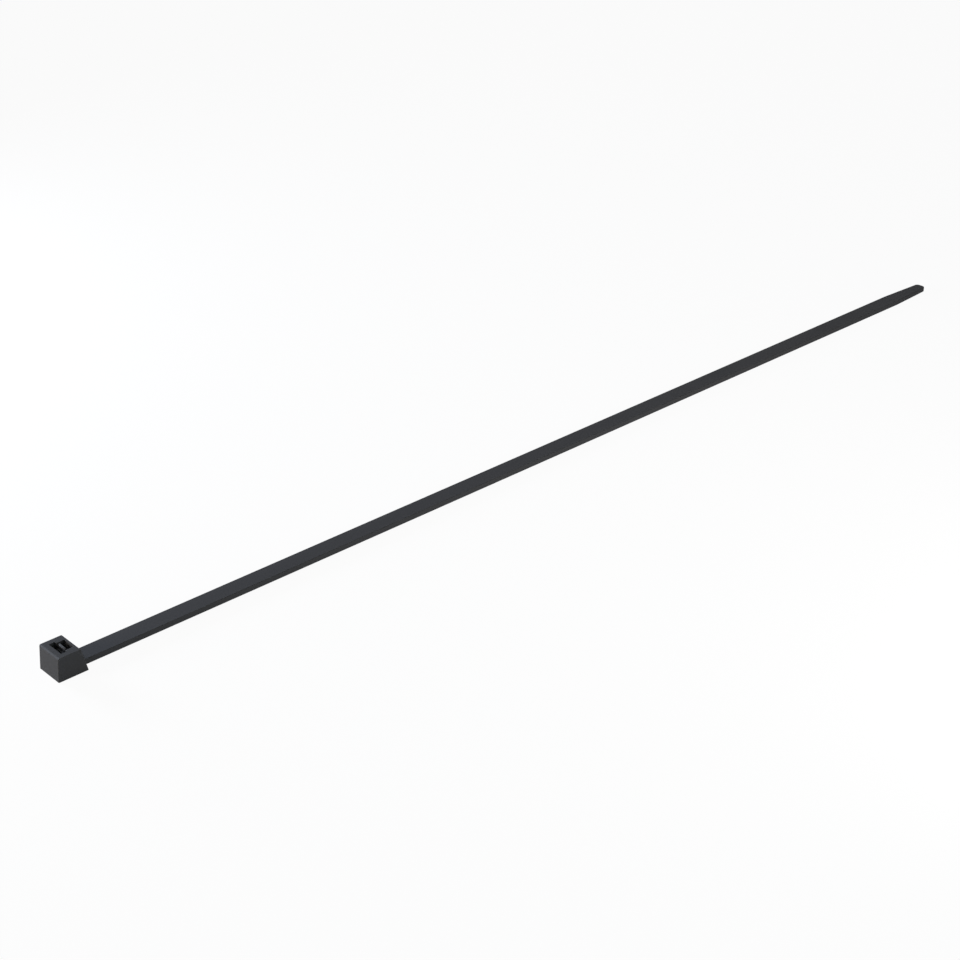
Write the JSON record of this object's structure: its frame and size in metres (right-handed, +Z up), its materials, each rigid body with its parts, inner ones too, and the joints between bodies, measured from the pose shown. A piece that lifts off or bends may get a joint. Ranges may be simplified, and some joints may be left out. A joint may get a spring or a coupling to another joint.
{
  "type": "cable tie",
  "caption": "Self-locking cable tie moulded in one piece: a square head with a through slot and a toothed pawl, and a long flat strap with a rack of fine teeth under it and a tapered tail.",
  "frame": {"origin": "middle of the strap slot's mouth, on the strap's centre line and level with the flat base of the head", "axes": "+X from the head along the strap to the tail, +Y across the strap, +Z up from the head's base towards the strap's smooth side"},
  "size_m": [0.3, 0.0074, 0.0056],
  "materials": {
    "nylon": "black moulded nylon, satin, with a very fine grain"
  },
  "bodies": {
    "root": {"cable_tie": "nylon"}
  },
  "joints": []
}
